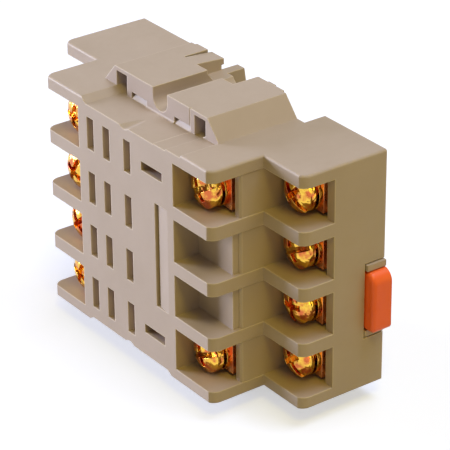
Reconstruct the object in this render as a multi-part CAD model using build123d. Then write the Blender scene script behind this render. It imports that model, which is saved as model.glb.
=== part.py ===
from build123d import *
import os
from math import atan2, degrees

# Relay socket with four poles and fourteen blades, for a 35 mm top-hat rail.
# Frame: X runs along the socket, +X towards the release slider. -Y is the way the
# relay face looks, +Y is the rail side. Z runs across the poles, +Z up.
# Origin: middle of the rail seat. All sizes are in millimetres.

# Poles
pole_count = 4
pole_pitch = 10.0
cell_height = 7.6
side_wall = 2.2

# Blade columns along X, from the left inner cells to the right inner cells
column_margin = 3.55
column_gap = 4.65
common_gap = 6.0
coil_gap = 6.9
coil_margin = 5.9

# Stepped outline, with heights measured from the rail seat towards -Y
tier_length = 10.0
relay_face = 22.9
terminal_face = 12.5
corner_across = 1.05
corner_along = 1.8
rim_radius = 0.4

# Rail recess in the back
rail_width = 35.0
rail_side_gap = 0.4
rail_flange = 1.0
rail_flange_gap = 0.3
foot_depth = 4.2

# Terminal cells
inner_floor = 16.95
outer_floor = 6.15
spare_floor = 18.1
spare_inset = 0.7
end_wall = 1.8
tier_wall = 1.5
tier_wall_chamfer = 0.5
cell_wall = 1.5
screw_offset = 3.9
pocket_depth = 2.0
pocket_rib = 0.8
plate_step = 0.15
cavity_height = 8.0
face_wall = 1.8
wall_inset = 0.15

# Raised blocks on both sides, with their channel, windows and latches
block_rise = 3.4
block_front = 15.65
block_back = 0.4
block_top_length = 26.0
block_foot_length = 32.0
block_back_length = 24.0
channel_width = 4.0
channel_bed = 0.2
cove_radius = 0.4
ear_pocket_width = 10.1
ear_pocket_length = 4.7
ear_floor_rise = 1.0
ear_step = 0.6
ear_ramp = 1.3
lug_gap = 6.8
lug_thickness = 1.9
lug_chamfer = 0.3
window_inner = 9.5
window_width = 3.0
window_below_top = 0.7
window_depth = 4.5
ledge_inner = 3.9
ledge_width = 4.3
ledge_height = 1.2
ledge_depth = 0.5
ledge_gap = 0.4
ledge_end_gap = 0.25
seam_place = 8.15
seam_width = 0.2
seam_depth = 0.35
seam_step = 0.12
slit_place = -8.5
slit_width = 0.4
slit_length = 4.4
slit_depth = 1.5
tongue_drop = 0.4
tongue_reach = 0.5

# Shallow recess on each side, in front of the blocks
recess_depth = 0.9
recess_slope = 1.5
recess_right = 11.4
shelf_depth = 0.45
shelf_slope = 0.3
shelf_end = 15.8
groove_depth = 0.4
groove_rise = 0.7

# Blade slots in the relay face
blade_slot_width = 1.9
blade_slot_height = 5.8
coil_slot_length = 5.75
coil_slot_height = 1.6
key_slot_offset = 1.0
key_slot_width = 0.6
key_slot_height = 18.9
key_slot_lift = 0.25
key_slot_depth = 1.4
key_ramp_width = 2.9
key_ramp_depth = 0.45

# Contact strips
strip_thickness = 0.8
strip_bend = 0.9
strip_width = 3.4
plate_width = 6.2
plate_gap = 0.75
clip_width = 5.2
clip_leaf = 0.45
clip_spread = 1.1
clip_pinch = 0.35
clip_mouth = 0.8
clip_base = 11.4
clip_gap = 0.3
thread_radius = 1.75
thread_gap = 0.05

# Terminal screws and washers
washer_gap = 0.3
washer_bore = 1.9
washer_thickness = 0.8
head_gap = 0.1
head_rim = 1.2
head_height = 2.3
shank_length = 5.2
recess_arm = 4.0
recess_width = 1.0
recess_sink = 1.3
screw_lift = 0.6
left_screw_lift = 1.1
loose_screw_lift = 1.6
loose_pole = 3
screw_turn = 37.0

# Rear base
base_plate = 2.0
base_gap = 0.2
foot_wall = 1.4
foot_floor = 0.7
hook_reach = 1.5
hook_thickness = 1.7
hook_width = 7.0
hook_spacing = 24.0
post_width = 1.2

# Release slider, its guides and its spring
slider_pole = -5.0
slider_width = 10.0
tab_width = 10.7
tab_out = 2.1
tab_length = 4.0
tab_corner = 2.0
tab_heel = 0.9
tab_round = 0.7
slider_plate = 2.7
slider_gap = 0.2
guide_bar = 1.1
guide_out = 0.5
guide_lip = 0.8
nose_reach = 1.7
slider_travel = 3.0
window_half = 1.9
spring_post = 1.6
spring_length = 7.8
spring_radius = 1.2
spring_wire = 0.4
spring_turns = 6

# Derived sizes
relay_face_length = column_margin + column_gap + common_gap + coil_gap + coil_margin
cell_start = relay_face_length / 2
inner_edge = cell_start + tier_length
half_length = inner_edge + tier_length
half_width = (pole_count - 1) * pole_pitch / 2 + cell_height / 2 + side_wall
block_top = half_width + block_rise
inner_end = inner_edge - tier_wall
outer_end = half_length - end_wall
recess_edge = rail_width / 2 + rail_side_gap
opening_half = half_width - side_wall
inner_plate_front = inner_floor + plate_step
outer_plate_front = outer_floor + plate_step
screw_x_inner = cell_start + screw_offset
screw_x_outer = inner_edge + screw_offset
poles = [(i - (pole_count - 1) / 2) * pole_pitch for i in range(pole_count)]
coil_poles = [poles[0], poles[-1]]
spare_poles = poles[1:-1]
column_places = {"front": -cell_start + column_margin}
column_places["middle"] = column_places["front"] + column_gap
column_places["common"] = column_places["middle"] + common_gap
coil_place = column_places["common"] + coil_gap
key_slot_place = coil_place + key_slot_offset
recess_floor = half_width - recess_depth
recess_left = window_inner + window_width
washer_radius = min(cell_height / 2, screw_offset, tier_length - end_wall - screw_offset) - washer_gap
support_half = plate_width / 2 - pocket_rib
head_radius = washer_radius - head_gap
past = 1.0


def slab(x, y, z):
    """Box given by its low and high X, Y and Z."""
    low = [min(pair) for pair in (x, y, z)]
    high = [max(pair) for pair in (x, y, z)]
    size = [b - a for a, b in zip(low, high)]
    centre = [(a + b) / 2 for a, b in zip(low, high)]
    return Pos(*centre) * Box(*size)


def prism(points, z_low, z_high):
    """Outline in X and Y, drawn from z_low to z_high."""
    face = make_face(Polyline(*points, close=True))
    return extrude(Plane.XY.offset(z_low) * face, z_high - z_low)


def prism_along_y(points, y_low, y_high):
    """Outline in X and Z, drawn from y_low to y_high."""
    plane = Plane(origin=(0, y_high, 0), x_dir=(1, 0, 0), z_dir=(0, -1, 0))
    return extrude(plane * make_face(Polyline(*points, close=True)), y_high - y_low)


def prism_along_x(points, x_low, x_high):
    """Outline in Y and Z, drawn from x_low to x_high."""
    plane = Plane(origin=(x_low, 0, 0), x_dir=(0, 1, 0), z_dir=(1, 0, 0))
    return extrude(plane * make_face(Polyline(*points, close=True)), x_high - x_low)


def rod(radius, x, z, y_low, y_high):
    """Round bar along Y."""
    bar = Cylinder(radius, y_high - y_low)
    return Pos(x, (y_low + y_high) / 2, z) * Rot(90, 0, 0) * bar


def rod_along_x(radius, y, z, length):
    """Round bar along X, centred on X = 0."""
    return Pos(0, y, z) * Rot(0, 90, 0) * Cylinder(radius, length)


def rod_along_z(radius, x, y, length):
    """Round bar along Z, centred on Z = 0."""
    return Pos(x, y, 0) * Cylinder(radius, length)


def both_sides(shape):
    """A shape on the +Z side and its mirror image on the -Z side."""
    return [shape, mirror(shape, about=Plane.XY)]


# Front housing

def corner_cutter(x, front):
    """What the round at a tier's corner takes away. It leaves the front at an angle."""
    radius = (corner_across**2 + corner_along**2) / (2 * corner_across)
    rows = (-half_width - past, half_width + past)
    cutter = slab((x - corner_across, x + past), (-front - past, -front + corner_along), rows)
    return cutter - rod_along_z(radius, x - radius, -front + corner_along, half_width * 3)


def housing_outline():
    """Stepped side outline with a recess for the rail."""
    points = [(-half_length, foot_depth), (-half_length, -terminal_face)]
    points += [(-inner_edge, -terminal_face), (-inner_edge, -relay_face)]
    points += [(inner_edge, -relay_face), (inner_edge, -terminal_face)]
    points += [(half_length, -terminal_face), (half_length, foot_depth)]
    points += [(recess_edge, foot_depth), (recess_edge, 0)]
    points += [(-recess_edge, 0), (-recess_edge, foot_depth)]
    body = prism(points, -half_width, half_width)
    for x, front in [(half_length, terminal_face), (inner_edge, relay_face)]:
        corner = corner_cutter(x, front)
        body -= [corner, mirror(corner, about=Plane.YZ)]

    def is_rim(edge):
        middle = edge @ 0.5
        return abs(abs(middle.Z) - half_width) < 0.01 and middle.Y < -past

    return fillet(body.edges().filter_by(is_rim), rim_radius)


def side_block():
    """Raised block with sloped ends, on the +Z side."""
    top = block_top_length / 2
    foot = block_foot_length / 2
    points = [(-foot, half_width - past), (-foot, half_width), (-top, block_top)]
    points += [(top, block_top), (foot, half_width), (foot, half_width - past)]
    block = prism_along_y(points, -block_front, 0)
    back = block_back_length / 2
    block += slab((-back, back), (-past, block_back), (half_width - past, block_top))
    edge = (-ledge_inner, ledge_inner)
    foot = (recess_floor, recess_floor + cove_radius)
    corner = slab(edge, (-block_front - cove_radius, -block_front + past), foot)
    hollow = rod_along_x(
        cove_radius, -block_front - cove_radius, recess_floor + cove_radius, ledge_inner * 3
    )
    return block + (corner - hollow)


def side_lugs():
    """Pair of lugs that reach back to the panel, beside the screw channel."""
    low = lug_gap / 2
    high = low + lug_thickness
    top = half_width + ear_floor_rise
    points = [(-past, opening_half), (foot_depth, opening_half)]
    points += [(foot_depth, half_width - ear_floor_rise), (foot_depth - lug_chamfer, top)]
    points += [(-past, top)]
    return [prism_along_x(points, low, high), prism_along_x(points, -high, -low)]


def side_recess(with_shelf):
    """Shallow recess between the tiers, with a round groove that rises to the channel."""
    skin = half_width + past
    points = [(-recess_left, skin), (-recess_left, half_width)]
    points += [(-recess_left + recess_slope, recess_floor)]
    if with_shelf:
        shelf = half_width - shelf_depth
        raised = recess_floor + seam_step
        points += [(seam_place, recess_floor), (seam_place, raised)]
        points += [(recess_right, raised), (recess_right + shelf_slope, shelf)]
        points += [(shelf_end - shelf_slope, shelf), (shelf_end, half_width), (shelf_end, skin)]
    else:
        points += [(recess_left - recess_slope, recess_floor)]
        points += [(recess_left, half_width), (recess_left, skin)]
    recess = prism_along_y(points, -relay_face - past, -block_front)
    radius = channel_width / 2
    length = relay_face - block_front
    tilt = degrees(atan2(groove_rise, length))
    groove = Cylinder(radius, length * 2, align=(Align.CENTER, Align.MAX, Align.MIN))
    floor = recess_floor - groove_depth + radius
    groove = Pos(0, -relay_face, floor) * Rot(-90 + tilt, 0, 0) * Pos(0, radius, -length / 2) * groove
    groove &= slab((-radius, radius), (-relay_face - past, -block_front), (0, skin))
    return [recess, groove]


def channel_and_pocket():
    """Screw channel along the block and the wider pocket at its back."""
    radius = channel_width / 2
    bed = half_width - channel_bed
    start = -block_front - cove_radius - past
    channel = slab((-radius, radius), (start, foot_depth), (bed + radius, block_top + past))
    channel += rod(radius, 0, bed + radius, start, foot_depth)
    floor = half_width + ear_floor_rise
    start = -ear_pocket_length
    points = [(start, block_top + past), (start, block_top - ear_step)]
    points += [(start + ear_ramp, floor), (past, floor), (past, block_top + past)]
    half = ear_pocket_width / 2
    return [channel, prism_along_x(points, -half, half)]


def latch_tongue():
    """Tongue beside the slit, which reaches past the back of the block."""
    low = block_top - slit_depth
    x = (slit_place, -ear_pocket_width / 2)
    return slab(x, (0, block_back + tongue_reach), (low, block_top - tongue_drop))


def block_details():
    """Square windows, sloped ledges, a seam and a latch slit in the block."""
    cuts = []
    top = block_top - window_below_top
    low = recess_floor
    slot_top = low + ledge_height
    for s in (-1, 1):
        x = (s * window_inner, s * recess_left)
        outer, inner = x[1], x[0]
        points = [(inner, top), (inner, low), (s * (recess_left - recess_slope), low)]
        points += [(outer, half_width), (outer, top)]
        cuts.append(prism_along_y(points, -block_front, -block_front + window_depth))
        points = [(-block_front - past, low), (-block_front, low)]
        points += [(-block_front + ledge_depth, slot_top - ledge_gap)]
        points += [(-block_front + window_depth, slot_top - ledge_gap)]
        points += [(-block_front + window_depth, slot_top), (-block_front - past, slot_top)]
        ends = sorted([s * ledge_inner, s * (ledge_inner + ledge_width)])
        cuts.append(prism_along_x(points, ends[0], ends[1]))
        y = (-block_front - past, -block_front + window_depth)
        cuts.append(slab((ends[0], ends[0] + ledge_end_gap), y, (low + ledge_gap, slot_top)))
    seam = (seam_place, seam_place + seam_width)
    y = (-block_front - past, -block_front + seam_depth)
    cuts.append(slab(seam, y, (low, block_top + past)))
    slit = (slit_place - slit_width, slit_place)
    cuts.append(slab(slit, (-slit_length, past), (block_top - slit_depth, block_top + past)))
    end = block_back + tongue_reach
    points = [(-slit_length, block_top), (end, block_top - tongue_drop)]
    points += [(end, block_top + past), (-slit_length, block_top + past)]
    cuts.append(prism_along_x(points, slit_place, -ear_pocket_width / 2))
    return cuts


def terminal_cells():
    """Open cells of both tiers, one per pole and side."""
    cuts = []
    half = cell_height / 2
    for s in (-1, 1):
        for z in poles:
            rows = (z - half, z + half)
            out = s * (half_length + past)
            is_spare = s > 0 and z in spare_poles
            floor = spare_floor if is_spare else inner_floor
            inner = (s * cell_start, out)
            cuts.append(slab(inner, (-relay_face - past, -floor), rows))
            inset = (s * (inner_edge - spare_inset), out)
            cuts.append(slab(inset, (-relay_face - past, -inner_floor), rows))
            points = [(s * (inner_edge - tier_wall_chamfer), -inner_floor - past)]
            points += [(s * (inner_edge - tier_wall_chamfer), -inner_floor)]
            points += [(s * inner_edge, -inner_floor + tier_wall_chamfer)]
            points += [(out, -inner_floor + tier_wall_chamfer), (out, -inner_floor - past)]
            cuts.append(prism(points, rows[0], rows[1]))
            step = (s * (inner_edge - wall_inset), out)
            cuts.append(slab(step, (-inner_floor - past, -outer_floor), rows))
            outer = (s * inner_edge, out)
            cuts.append(slab(outer, (-relay_face - past, -outer_floor), rows))
    return cuts


def terminal_pocket(x_from, x_to, z, plate_front):
    """Pocket round a terminal plate, with two ribs that carry the plate's edges."""
    back = -plate_front + strip_thickness
    half = cell_height / 2
    pocket = slab((x_from, x_to), (-plate_front - past, back + pocket_depth), (z - half, z + half))
    edge = plate_width / 2
    ribs = [(z - edge, z - support_half), (z + support_half, z + edge)]
    return pocket - [slab((x_from, x_to), (back, back + pocket_depth), rib) for rib in ribs]


def contact_cavities():
    """Hollow of each pole behind the relay face, open to the back, and its pockets."""
    cuts = []
    half = cavity_height / 2
    inside = cell_start - cell_wall
    for z in poles:
        rows = (z - half, z + half)
        narrow = (z - support_half, z + support_half)
        cuts.append(slab((-inside, inside), (-relay_face + face_wall, 0), rows))
        cuts.append(slab((-outer_end, outer_end), (-outer_plate_front, 0), narrow))
        for s in (-1, 1):
            cuts.append(terminal_pocket(s * inner_edge, s * outer_end, z, outer_plate_front))
            if s > 0 and z in spare_poles:
                continue
            cuts.append(slab((s * inside, s * inner_end), (-inner_plate_front, 0), narrow))
            cuts.append(terminal_pocket(s * cell_start, s * inner_end, z, inner_plate_front))
    return cuts


def relay_face_slots():
    """Blade slots, coil slots and the key slot with its ramp."""
    cuts = []
    y = (-relay_face - past, -relay_face + face_wall + past)
    for z in poles:
        rows = (z - blade_slot_height / 2, z + blade_slot_height / 2)
        for x in column_places.values():
            cuts.append(slab((x - blade_slot_width / 2, x + blade_slot_width / 2), y, rows))
    for z in coil_poles:
        x = (coil_place - coil_slot_length / 2, coil_place + coil_slot_length / 2)
        cuts.append(slab(x, y, (z - coil_slot_height / 2, z + coil_slot_height / 2)))
    low = key_slot_place - key_slot_width / 2
    high = key_slot_place + key_slot_width / 2
    key = (key_slot_lift - key_slot_height / 2, key_slot_lift + key_slot_height / 2)
    cuts.append(slab((low, high), (-relay_face - past, -relay_face + key_slot_depth), key))
    points = [(low, -relay_face - past), (low, -relay_face + key_ramp_depth)]
    points += [(high + key_ramp_width, -relay_face), (high + key_ramp_width, -relay_face - past)]
    cuts.append(prism(points, key[0], key[1]))
    return cuts


def rear_opening():
    """Seat for the rear base, and the slot for the slider in the end wall."""
    seat = slab(
        (-outer_end, outer_end), (-base_plate, foot_depth + past), (-opening_half, opening_half)
    )
    half = tab_width / 2 + slider_gap + guide_bar + base_gap
    slot = slab(
        (outer_end - past, half_length + past),
        (slider_gap, foot_depth + past),
        (slider_pole - half, slider_pole + half),
    )
    return [seat, slot]


def front_housing():
    """One moulded body with every wall, cell, slot and block."""
    body = housing_outline()
    cuts = side_recess(True)
    cuts += [mirror(cut, about=Plane.XY) for cut in side_recess(False)]
    body -= cuts
    body += both_sides(side_block())
    cuts = []
    for cut in channel_and_pocket() + block_details():
        cuts += both_sides(cut)
    cuts += terminal_cells() + contact_cavities() + relay_face_slots() + rear_opening()
    body -= cuts
    for piece in side_lugs() + [latch_tongue()]:
        body += both_sides(piece)
    return body


# Contacts

def bent_strip(points, thickness, radius, width):
    """Strip bent along points in X and Y, centred on Z = 0."""
    line = FilletPolyline(*points, radius=radius) if len(points) > 2 else Line(*points)
    section = trace(line, line_width=thickness)
    return extrude(Plane.XY.offset(-width / 2) * section, width)


def clip_outline():
    """Pinched fork that grips a blade, drawn from its base along -Y."""
    tip = relay_face - face_wall - clip_gap
    rise = tip - clip_base
    mouth = -clip_base - rise + clip_mouth
    half = []
    for s in (-1, 1):
        points = [(0, -clip_base), (s * clip_spread, -clip_base)]
        points += [(s * clip_spread, -clip_base - rise * 0.4), (s * clip_pinch * 1.6, mouth)]
        points += [(s * clip_spread * 0.8, -tip)]
        half.append(FilletPolyline(*points, radius=clip_leaf))
    return [trace(line, line_width=clip_leaf) for line in half]


def clip():
    """The fork as a solid, centred on X = 0 and Z = 0."""
    left, right = [
        extrude(Plane.XY.offset(-clip_width / 2) * half, clip_width) for half in clip_outline()
    ]
    return left + right


def terminal_plate(x_from, x_to, front, screw_x):
    """Flat end of a contact with its threaded hole."""
    plate = slab(
        (x_from, x_to), (-front, -front + strip_thickness), (-plate_width / 2, plate_width / 2)
    )
    return plate - rod(thread_radius + thread_gap, screw_x, 0, -front - past, -front + past * 2)


def outer_contact(side, column):
    """Contact from an outer terminal to the foot of a blade clip."""
    centre = -outer_plate_front + strip_thickness / 2
    plate = terminal_plate(
        side * (inner_edge + plate_gap),
        side * (outer_end - plate_gap),
        outer_plate_front,
        side * screw_x_outer,
    )
    path = [(side * (inner_edge + screw_offset / 2), centre), (column, centre)]
    path += [(column, -clip_base)]
    strip = bent_strip(path, strip_thickness, strip_bend, strip_width)
    return plate + strip + Pos(column, 0, 0) * clip()


def inner_contact(column):
    """Contact from a left inner terminal to the nearest blade column."""
    centre = -inner_plate_front + strip_thickness / 2
    plate = terminal_plate(
        -inner_end + plate_gap, -cell_start - plate_gap, inner_plate_front, -screw_x_inner
    )
    drop = -(cell_start - cell_wall / 2)
    path = [(-cell_start - screw_offset / 2, centre), (drop, centre)]
    path += [(drop, -clip_base), (column, -clip_base)]
    strip = bent_strip(path, strip_thickness, strip_bend, strip_width)
    return plate + strip + Pos(column, 0, 0) * clip()


def coil_contact():
    """Contact from a right inner terminal to a coil blade, whose clip is turned."""
    centre = -inner_plate_front + strip_thickness / 2
    plate = terminal_plate(
        cell_start + plate_gap, inner_end - plate_gap, inner_plate_front, screw_x_inner
    )
    drop = cell_start - cell_wall - strip_thickness
    path = [(cell_start + screw_offset / 2, centre), (drop, centre)]
    path += [(drop, -clip_base), (coil_place, -clip_base)]
    strip = bent_strip(path, strip_thickness, strip_bend, strip_width)
    fork = Pos(coil_place, 0, 0) * Rot(0, 90, 0) * clip()
    return plate + strip + fork


# Screws and washers

def terminal_places():
    """X, Z, plate height and screw lift of every screw terminal."""
    places = []
    for i, z in enumerate(poles, start=1):
        left_lift = loose_screw_lift if i == loose_pole else left_screw_lift
        places.append((-screw_x_outer, z, outer_plate_front, left_lift))
        places.append((screw_x_outer, z, outer_plate_front, screw_lift))
        places.append((-screw_x_inner, z, inner_plate_front, left_lift))
        if z not in spare_poles:
            places.append((screw_x_inner, z, inner_plate_front, screw_lift))
    return places


def screw():
    """Pan-head screw with a cross recess and a slot, head towards +Z, seat at Z = 0."""
    profile = Polyline((0, 0), (head_radius, 0), (head_radius, head_rim))
    crown = ThreePointArc(
        (head_radius, head_rim),
        (head_radius * 0.65, head_rim + (head_height - head_rim) * 0.72),
        (0, head_height),
    )
    face = make_face(profile + crown + Line((0, head_height), (0, 0)))
    head = revolve(Plane.XZ * face, Axis.Z)
    depth = (head_height - recess_sink, head_height + past)
    arm = recess_arm / 2
    half = recess_width / 2
    head -= slab((-arm, arm), (-half, half), depth)
    head -= slab((-half, half), (-head_radius - past, head_radius + past), depth)
    shank = Pos(0, 0, -shank_length / 2) * Cylinder(thread_radius, shank_length)
    return head + shank


def washer():
    """Flat washer on Z = 0."""
    ring = Cylinder(washer_radius, washer_thickness) - Cylinder(washer_bore, washer_thickness)
    return Pos(0, 0, washer_thickness / 2) * ring


def on_terminals(shape, is_screw):
    """A copy of a shape at each terminal, its +Z turned to -Y."""
    copies = []
    for i, (x, z, height, lift) in enumerate(terminal_places()):
        seat = washer_thickness + lift if is_screw else 0
        place = Pos(x, -height - seat, z) * Rot(90, 0, 0) * Rot(0, 0, i * screw_turn)
        copies.append(place * shape)
    return copies


# Rear base

def base_foot(side):
    """Hollow foot at one end of the base, open to the back."""
    inner = side * recess_edge
    outer = side * (outer_end - base_gap)
    half = opening_half - base_gap
    foot = slab((inner, outer), (-base_plate, foot_depth), (-half, half))
    core = slab(
        (inner + side * foot_wall, outer - side * foot_wall),
        (foot_floor, foot_depth + past),
        (-half + foot_wall, half - foot_wall),
    )
    ribs = []
    for z in [(a + b) / 2 for a, b in zip(poles[:-1], poles[1:])]:
        rows = (z - foot_wall / 2, z + foot_wall / 2)
        ribs.append(slab((inner, outer), (0, foot_depth - past), rows))
    return foot - core + ribs


def slider_guides():
    """Floor and guide bars in which the slider runs, with the spring post."""
    inner = tab_width / 2 + slider_gap
    outer = inner + guide_bar
    room = slab(
        (recess_edge - past, outer_end + past),
        (0, foot_depth + past),
        (slider_pole - outer, slider_pole + outer),
    )
    parts = []
    lip_start = recess_edge + slider_travel
    for s in (-1, 1):
        z = (slider_pole + s * inner, slider_pole + s * outer)
        end = half_length + guide_out if s > 0 else half_length
        bar = slab((recess_edge, end), (0, foot_depth), z)
        bar -= slab((outer_end - base_gap, half_length + past), (0, slider_gap * 2), z)
        lip_z = (slider_pole + s * (inner - guide_lip), slider_pole + s * outer)
        lip_y = (slider_gap * 2 + slider_plate, foot_depth)
        lip_end = half_length + tab_out - tab_length - slider_gap
        parts.append(bar + slab((lip_start, lip_end), lip_y, lip_z))
    post_x = post_place()
    parts.append(
        slab(
            (post_x, post_x + spring_post),
            (-base_plate, slider_plate),
            (slider_pole - window_half + slider_gap, slider_pole + window_half - slider_gap),
        )
    )
    return room, parts


def post_place():
    """X of the post's face that the spring leans on."""
    return recess_edge + foot_wall + slider_gap + spring_length


def fixed_hooks():
    """Hooks that hold the far flange of the rail."""
    low = rail_flange + rail_flange_gap
    hooks = []
    for s in (-1, 1):
        z = s * hook_spacing / 2
        points = [(-recess_edge - foot_wall, low), (-recess_edge + hook_reach, low)]
        points += [(-recess_edge + hook_reach, low + hook_thickness / 2)]
        points += [(-recess_edge, low + hook_thickness)]
        points += [(-recess_edge - foot_wall, low + hook_thickness)]
        hooks.append(prism(points, z - hook_width / 2, z + hook_width / 2))
    return hooks


def contact_posts():
    """Posts that press the contacts against their shoulders."""
    posts = []
    top = -clip_base + clip_leaf / 2
    plate_back = -outer_plate_front + strip_thickness
    low = strip_width / 2 + slider_gap
    for z in poles:
        columns = [column_places["front"]]
        if z in coil_poles:
            columns.append(coil_place)
        for x in columns:
            for s in (-1, 1):
                rows = (z + s * low, z + s * (low + post_width))
                posts.append(slab((x - post_width / 2, x + post_width / 2), (top, 0), rows))
        for x in (column_places["middle"], column_places["common"]):
            rows = (z - strip_width / 2, z + strip_width / 2)
            posts.append(slab((x - post_width, x + post_width), (plate_back, 0), rows))
        for s in (-1, 1):
            for x in (inner_edge + plate_gap, outer_end - plate_gap - post_width):
                rows = (z - plate_width / 4, z + plate_width / 4)
                posts.append(slab((s * x, s * (x + post_width)), (plate_back, 0), rows))
    return posts


def rear_base():
    """Moulded back with the rail seat, feet, hooks and slider guides."""
    half = opening_half - base_gap
    plate = slab((-outer_end + base_gap, outer_end - base_gap), (-base_plate, 0), (-half, half))
    body = plate + base_foot(-1) + base_foot(1)
    room, guides = slider_guides()
    body -= room
    body += guides
    body += fixed_hooks()
    return body + contact_posts()


# Release slider and spring

def release_slider():
    """Flat latch with a nose for the rail, a window for the spring and a pull tab."""
    half = slider_width / 2
    rest = recess_edge - nose_reach
    low = rail_flange + rail_flange_gap
    top = slider_gap + slider_plate
    tab_end = half_length + tab_out
    tab_start = tab_end - tab_length
    points = [(rest, low), (rest, low + slider_plate / 4), (rest + nose_reach, top)]
    points += [(tab_start, top), (tab_start, slider_gap), (recess_edge, slider_gap)]
    points += [(recess_edge, low)]
    plate = prism(points, slider_pole - half, slider_pole + half)
    window = (recess_edge + foot_wall, post_place() + spring_post + slider_gap / 2)
    rows = (slider_pole - window_half, slider_pole + window_half)
    plate -= slab(window, (0, foot_depth), rows)
    tab = slab(
        (tab_start, tab_end),
        (slider_gap * 2, foot_depth - slider_gap / 4),
        (slider_pole - tab_width / 2, slider_pole + tab_width / 2),
    )
    ends = tab.edges().filter_by(Axis.Y).filter_by(lambda e: (e @ 0.5).X > tab_end - past / 2)
    upper = ends.filter_by(lambda e: (e @ 0.5).Z > slider_pole)
    tab = fillet(upper, tab_corner)
    ends = tab.edges().filter_by(Axis.Y).filter_by(lambda e: (e @ 0.5).X > tab_end - past / 2)
    tab = fillet(ends.filter_by(lambda e: (e @ 0.5).Z < slider_pole), tab_heel)
    front = tab.faces().sort_by(Axis.Y)[0]
    outline = front.edges().filter_by(lambda e: (e @ 0.5).X > tab_start + past / 2)
    tab = fillet(outline, tab_round)
    return plate + tab


def latch_spring():
    """Coil spring between the slider's window and the post of the base."""
    pitch = (spring_length - spring_wire) / spring_turns
    path = Helix(pitch, spring_length - spring_wire, spring_radius - spring_wire / 2)
    start = Plane(origin=path @ 0, z_dir=path % 0)
    coil = sweep(start * Circle(spring_wire / 2), path=path)
    middle = slider_gap + slider_plate / 2
    place = Pos(recess_edge + foot_wall + spring_wire / 2 + slider_gap / 2, middle, slider_pole)
    return place * Rot(0, 90, 0) * coil


def all_parts():
    """Every sub-part under its node's name."""
    parts = {"front_housing": front_housing(), "rear_base": rear_base()}
    parts["release_slider"] = release_slider()
    parts["latch_spring"] = latch_spring()
    for i, z in enumerate(poles, start=1):
        row = Pos(0, 0, z)
        parts[f"contact_left_outer_{i}"] = row * outer_contact(-1, column_places["middle"])
        parts[f"contact_left_inner_{i}"] = row * inner_contact(column_places["front"])
        parts[f"contact_right_outer_{i}"] = row * outer_contact(1, column_places["common"])
        if z in coil_poles:
            parts[f"contact_coil_{i}"] = row * coil_contact()
    parts["terminal_screws"] = Compound(children=on_terminals(screw(), True))
    parts["terminal_washers"] = Compound(children=on_terminals(washer(), False))
    return parts


os.makedirs("parts", exist_ok=True)
for name, shape in all_parts().items():
    export_step(shape, f"parts/{name}.step")
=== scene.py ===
import math

import bmesh
import bpy
from mathutils import Matrix, Vector


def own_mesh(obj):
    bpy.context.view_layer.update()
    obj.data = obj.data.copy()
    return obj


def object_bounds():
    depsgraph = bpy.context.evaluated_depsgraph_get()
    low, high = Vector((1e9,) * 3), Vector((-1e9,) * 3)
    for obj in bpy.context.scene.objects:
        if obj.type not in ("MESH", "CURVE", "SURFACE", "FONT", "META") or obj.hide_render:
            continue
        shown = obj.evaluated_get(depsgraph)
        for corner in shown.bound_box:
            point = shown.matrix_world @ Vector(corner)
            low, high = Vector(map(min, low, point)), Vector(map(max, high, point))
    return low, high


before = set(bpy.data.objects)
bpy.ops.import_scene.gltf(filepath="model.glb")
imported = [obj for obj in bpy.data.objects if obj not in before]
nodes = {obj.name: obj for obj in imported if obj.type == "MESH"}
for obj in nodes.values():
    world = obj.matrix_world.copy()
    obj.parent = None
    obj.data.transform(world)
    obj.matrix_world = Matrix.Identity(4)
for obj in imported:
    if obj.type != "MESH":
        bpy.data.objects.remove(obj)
cad_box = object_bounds()

MM = 0.001

# Camera, solved from the corners of the object in the photograph, in mm, degrees and pixels
CAMERA_PLACE = (298.08, -220.61, 188.50)
CAMERA_YAW = 53.855
CAMERA_PITCH = 27.546
CAMERA_ROLL = 0.516
FOCAL_PIXELS = 2456.4
IMAGE_WIDTH = 450
SENSOR_WIDTH = 36.0
CLIP_NEAR = 0.01
CLIP_FAR = 20

# Colours, as linear values
HOUSING_COLOUR = (0.464, 0.386, 0.350, 1)
HOUSING_DARK = (0.444, 0.367, 0.328, 1)
HOUSING_LIGHT = (0.484, 0.405, 0.372, 1)
# Paler colour painted on the housing's outer edges as a highlight
HOUSING_EDGE_HIGHLIGHT = (0.640, 0.555, 0.485, 1)
SLIDER_COLOUR = (1.0, 0.155, 0.022, 1)
SLIDER_DARK = (0.96, 0.130, 0.016, 1)
GOLD_COLOUR = (0.88, 0.54, 0.07, 1)
GOLD_DARK = (0.64, 0.16, 0.05, 1)
BRASS_COLOUR = (1.00, 0.48, 0.17, 1)
BRASS_DARK = (0.78, 0.24, 0.08, 1)
STEEL_COLOUR = (0.55, 0.55, 0.56, 1)
STEEL_DARK = (0.38, 0.38, 0.40, 1)
FLOOR_COLOUR = (0.50, 0.42, 0.17, 1)
FLOOR_SHOWN = (0.60, 0.66, 0.88, 1)
FLOOR_GLOW = (0.53, 0.535, 0.545, 1)
WORLD_COLOUR = (1.0, 0.80, 0.42, 1)
WHITE = (1, 1, 1, 1)
HOUSING_TONES = (HOUSING_DARK, HOUSING_COLOUR, HOUSING_LIGHT)
SLIDER_TONES = (SLIDER_DARK, SLIDER_COLOUR, SLIDER_COLOUR)

# Finishes, with the relief and the radius of the rounded edges in metres
HOUSING_FINISH = {"roughness": 0.50, "grain": 0.00003, "edge": 0.00020}
SLIDER_FINISH = {"roughness": 0.40, "grain": 0.00002, "edge": 0.00025}
GOLD_FINISH = {"roughness": 0.08, "patch_scale": 620, "relief": 0.00042, "edge": 0.00015}
BRASS_FINISH = {"roughness": 0.25, "patch_scale": 260, "relief": 0.00003, "edge": 0.00008}
STEEL_FINISH = {"roughness": 0.25, "patch_scale": 500, "relief": 0.00001, "edge": 0.00004}

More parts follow.
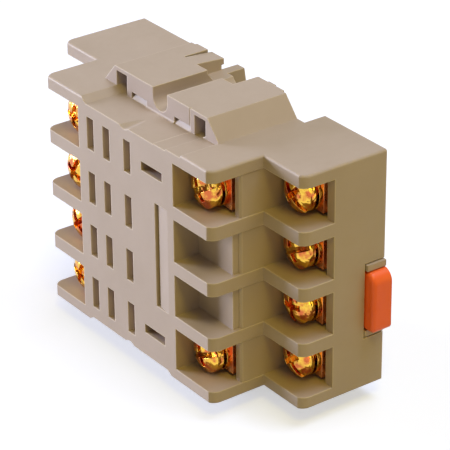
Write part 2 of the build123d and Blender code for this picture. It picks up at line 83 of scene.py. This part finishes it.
# Noise textures: scale in cycles per metre, detail and roughness
PLASTIC_CLOUDS = (90, 5.0, 0.6)
PLASTIC_GRAIN = (4200, 3.0, 0.6)
PLASTIC_GLOSS = (700, 3.0, 0.5)
METAL_GLOSS = (2500, 3.0, 0.5)

# Noise at the scale of a metal's patches: detail and roughness
PATCH_NOISE = (3.0, 0.55)
RELIEF_NOISE = (2.0, 0.5)

# Part of a noise texture's range that the roughness follows
NOISE_LOW = 0.3
NOISE_HIGH = 0.7

# Places of the colours on the ramps
CLOUD_STOPS = (0.30, 0.50, 0.72)
PATCH_STOPS = (0.38, 0.57)

# Plastic: spread of the roughness, specular level and strength of the grain
PLASTIC_SMOOTHER = 0.05
PLASTIC_ROUGHER = 0.06
PLASTIC_SPECULAR = 0.45
GRAIN_STRENGTH = 0.5

# Metal: spread of the roughness and strength of the relief
METAL_ROUGHER = 0.12
RELIEF_STRENGTH = 1.0

# Rounded edges
BEVEL_SAMPLES = 6

# Painted highlight on outer edges: samples, reach in metres and range of the occlusion that they
# cover
EDGE_SAMPLES = 8
EDGE_REACH = 0.00020
EDGE_LOW = 0.70
EDGE_HIGH = 0.98

# Sockets of the Mix node for colours
MIX_FACTOR = 0
MIX_FIRST = 6
MIX_SECOND = 7
MIX_RESULT = 2

# Floor and world
FLOOR_HALF = 4.0
FLOOR_ROUGHNESS = 0.9
FLOOR_SPECULAR = 0.1
WORLD_STRENGTH = 0.18
WHITE_STRENGTH = 1.0

# Lights: place, width, power and colour, all aimed at one point
LIGHT_AIM = (0.0, 0.0, 0.0)
LIGHTS = {
    "key": ((-1.13, -0.68, 0.17), 0.60, 30.5, (0.79, 0.83, 1.0)),
    "top": ((0.20, 0.25, 1.0), 0.60, 5.6, (0.81, 0.85, 0.95)),
    "warm": ((0.62, -0.34, 1.05), 0.30, 3.8, (1.0, 0.76, 0.06)),
    "back": ((0.95, 0.45, 0.25), 0.40, 0.95, (1.0, 0.74, 0.06)),
}


def camera_axes():
    """Right, up and backward directions of the solved camera."""
    yaw = math.radians(CAMERA_YAW)
    pitch = math.radians(CAMERA_PITCH)
    roll = math.radians(CAMERA_ROLL)
    forward = Vector(
        (-math.sin(yaw) * math.cos(pitch), math.cos(yaw) * math.cos(pitch), -math.sin(pitch))
    )
    right = Vector((math.cos(yaw), math.sin(yaw), 0))
    down = forward.cross(right)
    turned_right = math.cos(roll) * right + math.sin(roll) * down
    turned_down = -math.sin(roll) * right + math.cos(roll) * down
    return turned_right, -turned_down, -forward


def add_camera():
    """Camera at the photograph's place and angle."""
    data = bpy.data.cameras.new("camera")
    data.sensor_width = SENSOR_WIDTH
    data.lens = FOCAL_PIXELS * SENSOR_WIDTH / IMAGE_WIDTH
    data.clip_start = CLIP_NEAR
    data.clip_end = CLIP_FAR
    camera = bpy.data.objects.new("camera", data)
    bpy.context.scene.collection.objects.link(camera)
    right, up, back = camera_axes()
    turn = Matrix((right, up, back)).transposed().to_4x4()
    camera.matrix_world = Matrix.Translation(Vector(CAMERA_PLACE) * MM) @ turn
    bpy.context.scene.camera = camera


def add_area_light(name, place, width, power, colour):
    """Soft square light that points at the object."""
    data = bpy.data.lights.new(name, "AREA")
    data.size = width
    data.energy = power
    data.color = colour
    light = bpy.data.objects.new(name, data)
    bpy.context.scene.collection.objects.link(light)
    light.location = place
    direction = Vector(LIGHT_AIM) - Vector(place)
    light.rotation_euler = direction.to_track_quat("-Z", "Y").to_euler()


def seen_directly(tree):
    """Value that is 1 for camera, glossy and transmission rays."""
    path = tree.nodes.new("ShaderNodeLightPath")
    total = path.outputs["Is Camera Ray"]
    for name in ("Is Glossy Ray", "Is Transmission Ray"):
        add = tree.nodes.new("ShaderNodeMath")
        add.operation = "ADD"
        add.use_clamp = True
        tree.links.new(total, add.inputs[0])
        tree.links.new(path.outputs[name], add.inputs[1])
        total = add.outputs["Value"]
    return total


def background(tree, colour, strength):
    """Background shader of one colour and strength."""
    shader = tree.nodes.new("ShaderNodeBackground")
    shader.inputs["Color"].default_value = colour
    shader.inputs["Strength"].default_value = strength
    return shader


def add_world():
    """Even warm light, shown as white to the camera and to reflections."""
    world = bpy.data.worlds.new("world")
    bpy.context.scene.world = world
    world.use_nodes = True
    tree = world.node_tree
    tree.nodes.clear()
    output = tree.nodes.new("ShaderNodeOutputWorld")
    light = background(tree, WORLD_COLOUR, WORLD_STRENGTH)
    shown = background(tree, WHITE, WHITE_STRENGTH)
    mix = tree.nodes.new("ShaderNodeMixShader")
    tree.links.new(seen_directly(tree), mix.inputs["Fac"])
    tree.links.new(light.outputs["Background"], mix.inputs[1])
    tree.links.new(shown.outputs["Background"], mix.inputs[2])
    tree.links.new(mix.outputs["Shader"], output.inputs["Surface"])


def new_material(name):
    """Empty material with a Principled shader, returned with its tree and shader."""
    material = bpy.data.materials.new(name)
    material.use_nodes = True
    tree = material.node_tree
    shader = tree.nodes["Principled BSDF"]
    return material, tree, shader


def noise(tree, scale, detail, roughness):
    """Noise texture in object space, scale in cycles per metre."""
    place = tree.nodes.new("ShaderNodeTexCoord")
    texture = tree.nodes.new("ShaderNodeTexNoise")
    texture.inputs["Scale"].default_value = scale
    texture.inputs["Detail"].default_value = detail
    texture.inputs["Roughness"].default_value = roughness
    tree.links.new(place.outputs["Object"], texture.inputs["Vector"])
    return texture


def ramp(tree, source, places, colours):
    """Colour that runs through the given colours as a texture's Fac rises."""
    stops = list(zip(places, colours))
    node = tree.nodes.new("ShaderNodeValToRGB")
    elements = node.color_ramp.elements
    elements[0].position, elements[0].color = stops[0]
    elements[1].position, elements[1].color = stops[-1]
    for position, colour in stops[1:-1]:
        element = elements.new(position)
        element.color = colour
    tree.links.new(source.outputs["Fac"], node.inputs["Fac"])
    return node.outputs["Color"]


def mix_colour(tree, factor):
    """Mix node for colours, driven by factor."""
    mix = tree.nodes.new("ShaderNodeMix")
    mix.data_type = "RGBA"
    tree.links.new(factor, mix.inputs[MIX_FACTOR])
    return mix


def rough_range(tree, source, low, high, shader):
    """Roughness that follows a texture between two values."""
    spread = tree.nodes.new("ShaderNodeMapRange")
    spread.inputs["From Min"].default_value = NOISE_LOW
    spread.inputs["From Max"].default_value = NOISE_HIGH
    spread.inputs["To Min"].default_value = low
    spread.inputs["To Max"].default_value = high
    tree.links.new(source.outputs["Fac"], spread.inputs["Value"])
    tree.links.new(spread.outputs["Result"], shader.inputs["Roughness"])


def add_bump(tree, shader, source, height, strength, edge):
    """Small relief from a texture, over edges rounded by the radius edge."""
    bump = tree.nodes.new("ShaderNodeBump")
    bump.inputs["Strength"].default_value = strength
    bump.inputs["Distance"].default_value = height
    tree.links.new(source.outputs["Fac"], bump.inputs["Height"])
    bevel = tree.nodes.new("ShaderNodeBevel")
    bevel.samples = BEVEL_SAMPLES
    bevel.inputs["Radius"].default_value = edge
    tree.links.new(bevel.outputs["Normal"], bump.inputs["Normal"])
    tree.links.new(bump.outputs["Normal"], shader.inputs["Normal"])


def edge_mask(tree):
    """Value that is 1 on faces and falls to 0 at outer edges."""
    inside = tree.nodes.new("ShaderNodeAmbientOcclusion")
    inside.samples = EDGE_SAMPLES
    inside.inside = True
    inside.only_local = True
    inside.inputs["Distance"].default_value = EDGE_REACH
    sharpen = tree.nodes.new("ShaderNodeMapRange")
    sharpen.inputs["From Min"].default_value = EDGE_LOW
    sharpen.inputs["From Max"].default_value = EDGE_HIGH
    tree.links.new(inside.outputs["AO"], sharpen.inputs["Value"])
    return sharpen.outputs["Result"]


def moulded_plastic(name, dark, middle, light, roughness, grain, edge, painted_edge_highlight=None):
    """Moulded plastic with a faint clouded colour, an eroded grain and, if asked, a painted
    highlight on its outer edges.
    """
    material, tree, shader = new_material(name)
    clouds = noise(tree, *PLASTIC_CLOUDS)
    colour = ramp(tree, clouds, CLOUD_STOPS, (dark, middle, light))
    # If asked, paints a highlight on the outer edges in a paler colour
    if painted_edge_highlight:
        mix = mix_colour(tree, edge_mask(tree))
        mix.inputs[MIX_FIRST].default_value = painted_edge_highlight
        tree.links.new(colour, mix.inputs[MIX_SECOND])
        colour = mix.outputs[MIX_RESULT]
    tree.links.new(colour, shader.inputs["Base Color"])
    fine = noise(tree, *PLASTIC_GRAIN)
    gloss = noise(tree, *PLASTIC_GLOSS)
    rough_range(tree, gloss, roughness - PLASTIC_SMOOTHER, roughness + PLASTIC_ROUGHER, shader)
    add_bump(tree, shader, fine, grain, GRAIN_STRENGTH, edge)
    shader.inputs["Specular IOR Level"].default_value = PLASTIC_SPECULAR
    return material


def metal(name, dark, light, roughness, patch_scale, relief, edge):
    """Plated metal whose colour wanders between two tones."""
    material, tree, shader = new_material(name)
    patches = noise(tree, patch_scale, *PATCH_NOISE)
    colour = ramp(tree, patches, PATCH_STOPS, (dark, light))
    tree.links.new(colour, shader.inputs["Base Color"])
    shader.inputs["Metallic"].default_value = 1.0
    rough_range(tree, noise(tree, *METAL_GLOSS), roughness, roughness + METAL_ROUGHER, shader)
    swell = noise(tree, patch_scale, *RELIEF_NOISE)
    add_bump(tree, shader, swell, relief, RELIEF_STRENGTH, edge)
    return material


def give(material, *names):
    """Puts a material on CAD nodes."""
    for name in names:
        node = nodes[name]
        if not node.material_slots:
            node.data.materials.append(material)
        for slot in node.material_slots:
            slot.material = material


def squeeze_spring():
    """Gives the latch spring a mesh of its own."""
    spring = nodes["latch_spring"]
    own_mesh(spring)


def floor_material():
    """Pale floor that shows white and keeps the shadow, and throws warm light back."""
    material, tree, shader = new_material("floor")
    shown = seen_directly(tree)
    mix = mix_colour(tree, shown)
    mix.inputs[MIX_FIRST].default_value = FLOOR_COLOUR
    mix.inputs[MIX_SECOND].default_value = FLOOR_SHOWN
    tree.links.new(mix.outputs[MIX_RESULT], shader.inputs["Base Color"])
    shader.inputs["Roughness"].default_value = FLOOR_ROUGHNESS
    shader.inputs["Specular IOR Level"].default_value = FLOOR_SPECULAR
    shader.inputs["Emission Color"].default_value = FLOOR_GLOW
    tree.links.new(shown, shader.inputs["Emission Strength"])
    return material


def add_floor():
    """Floor under the blocks that the socket stands on."""
    low = cad_box[0][2]
    mesh = bpy.data.meshes.new("floor")
    form = bmesh.new()
    bmesh.ops.create_grid(form, x_segments=1, y_segments=1, size=FLOOR_HALF)
    form.to_mesh(mesh)
    form.free()
    floor = bpy.data.objects.new("floor", mesh)
    floor.location = (0, 0, low)
    bpy.context.scene.collection.objects.link(floor)
    mesh.materials.append(floor_material())


bpy.context.scene.view_settings.view_transform = "Standard"
add_camera()
add_world()
for light_name, light_values in LIGHTS.items():
    add_area_light(light_name, *light_values)
add_floor()

housing = moulded_plastic("beige_plastic", *HOUSING_TONES, painted_edge_highlight=HOUSING_EDGE_HIGHLIGHT, **HOUSING_FINISH)
base = moulded_plastic("base_plastic", *HOUSING_TONES, **HOUSING_FINISH)
slider = moulded_plastic("orange_plastic", *SLIDER_TONES, **SLIDER_FINISH)
gold = metal("yellow_zinc", GOLD_DARK, GOLD_COLOUR, **GOLD_FINISH)
brass = metal("brass", BRASS_DARK, BRASS_COLOUR, **BRASS_FINISH)
steel = metal("spring_wire", STEEL_DARK, STEEL_COLOUR, **STEEL_FINISH)

give(housing, "front_housing")
give(base, "rear_base")
give(slider, "release_slider")
give(gold, "terminal_screws", "terminal_washers")
give(steel, "latch_spring")
give(brass, *[name for name in nodes if name.startswith("contact_")])
squeeze_spring()
